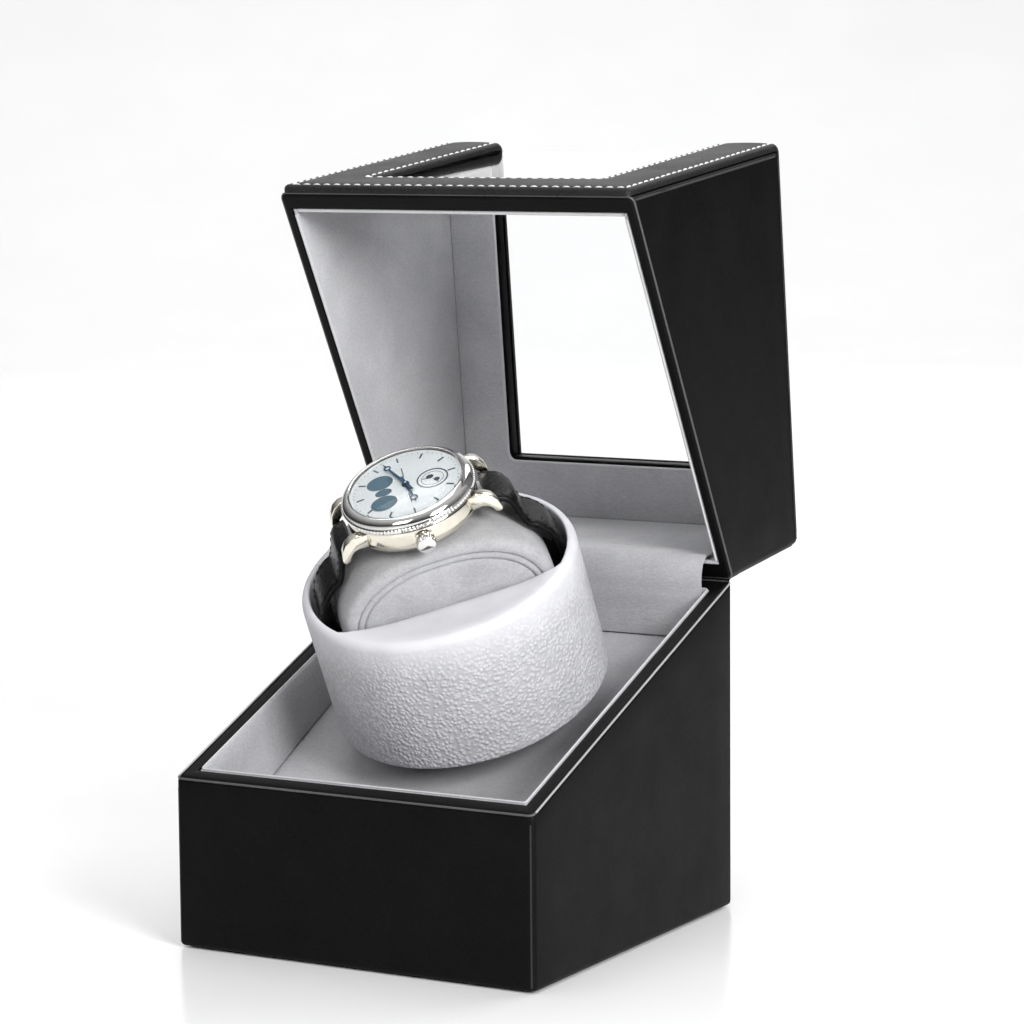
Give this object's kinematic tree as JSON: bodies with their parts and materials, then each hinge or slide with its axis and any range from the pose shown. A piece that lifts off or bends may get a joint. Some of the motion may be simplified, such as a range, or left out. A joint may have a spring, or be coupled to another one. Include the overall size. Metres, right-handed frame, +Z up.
{
  "type": "watch winder box",
  "caption": "Leather-wrapped box with a slanted rim, a hinged windowed lid and a tilted motor-driven drum that turns a wristwatch held on a cushion.",
  "frame": {"origin": "centre of the base's underside, on the felt face that it stands on", "axes": "+Z up, -Y is the low front of the box, +X to the right seen from the front, metres"},
  "size_m": [0.125, 0.2097, 0.2416],
  "materials": {
    "black_leather": "grained black synthetic leather, satin",
    "board": "raw fibreboard",
    "velvet": "grey velvet lining",
    "grey_leather": "pebbled light grey synthetic leather",
    "cushion_velvet": "light grey velvet",
    "felt": "black felt",
    "clear": "clear",
    "steel": "polished steel",
    "zinc": "zinc plated",
    "brass": "satin brass",
    "nylon": "natural nylon",
    "abs_black": "moulded black plastic",
    "abs_grey": "moulded grey plastic",
    "pcb_green": "green circuit board",
    "wire_red": "insulated wire",
    "dial_white": "silver white dial",
    "blue_steel": "blued steel",
    "croc": "black embossed strap leather",
    "cord_black": "black cable jacket"
  },
  "bodies": {
    "base": {"base_felt": "felt", "base_bottom": "board", "base_left": "board", "base_right": "board", "base_front": "board", "base_back": "board", "base_leather": "black_leather", "base_lining": "velvet", "platform": "velvet", "bush": "nylon", "motor_bracket": "zinc", "bracket_screw_1": "zinc", "bracket_screw_2": "zinc", "motor_gearbox": "abs_grey", "motor_can": "zinc", "control_board": "pcb_green", "motor_wires": "wire_red", "power_inlet": "abs_black", "mode_switch": "abs_black", "hinge_leaf_base": "brass", "hinge_pin": "steel", "hinge_flap": "velvet", "cord_plug": "cord_black", "cord_lead": "cord_black", "cord_coil": "cord_black", "usb_plug": "cord_black", "usb_shell": "steel"},
    "lid": {"lid_left": "board", "lid_right": "board", "lid_back": "board", "lid_front": "board", "lid_top": "board", "lid_leather": "black_leather", "window_pane": "clear", "window_frame": "black_leather", "lid_lining_walls": "velvet", "lid_lining_frame": "velvet", "hinge_leaf_lid": "brass"},
    "drum": {"spindle": "steel", "spindle_clip": "steel", "drum_gear": "nylon", "drum_shell": "abs_grey", "drum_leather": "grey_leather", "drum_cheek_rear": "grey_leather", "drum_cheek_front": "grey_leather"},
    "pinion": {"motor_pinion": "brass"},
    "cushion": {"cushion": "cushion_velvet", "strap_left": "croc", "strap_right": "croc", "strap_buckle": "steel", "watch_case": "steel", "watch_caseback": "steel", "watch_movement": "brass", "watch_dial": "dial_white", "watch_bezel": "steel", "watch_crystal": "clear"},
    "crown": {"watch_crown": "steel"},
    "minute_hand": {"minute_hand": "blue_steel"},
    "hour_hand": {"hour_hand": "blue_steel"},
    "rocker": {"switch_rocker": "abs_black"}
  },
  "joints": [
    {"name": "lid_hinge", "type": "hinge", "parent": "base", "child": "lid", "pos_m": [0, 0.0642, 0.1056], "axis": [1, 0, 0], "range_deg": [0, 83.66], "deforming": ["hinge_flap"]},
    {"name": "drum_spin", "type": "hinge", "parent": "base", "child": "drum", "pos_m": [0, 0.01386, 0.06378], "axis": [0, -0.454, 0.891], "continuous": true},
    {"name": "pinion_spin", "type": "hinge", "parent": "base", "child": "pinion", "pos_m": [0.032, 0.01386, 0.06378], "axis": [0, -0.454, 0.891], "continuous": true},
    {"name": "cushion_lift", "type": "slide", "parent": "drum", "child": "cushion", "axis": [0, 0.454, -0.891], "range_m": [-0.045, 0]},
    {"name": "rocker_tilt", "type": "hinge", "parent": "base", "child": "rocker", "pos_m": [0.012, 0.063, 0.016], "axis": [0, 0, 1], "range_deg": [0, 16]},
    {"name": "crown_spin", "type": "hinge", "parent": "cushion", "child": "crown", "pos_m": [0.01281, -0.04011, 0.12628], "axis": [0.6165, -0.6744, -0.4062], "continuous": true},
    {"name": "minute_hand_spin", "type": "hinge", "parent": "cushion", "child": "minute_hand", "pos_m": [-0.00149, -0.02647, 0.13905], "axis": [-0.0014, 0.515, -0.8572], "continuous": true},
    {"name": "hour_hand_spin", "type": "hinge", "parent": "cushion", "child": "hour_hand", "pos_m": [-0.00149, -0.02601, 0.13828], "axis": [-0.0014, 0.515, -0.8572], "continuous": true}
  ],
  "couplings": [
    {"joint": "pinion_spin", "follows": "drum_spin", "ratio": -3},
    {"joint": "hour_hand_spin", "follows": "minute_hand_spin", "ratio": 0.083333}
  ]
}
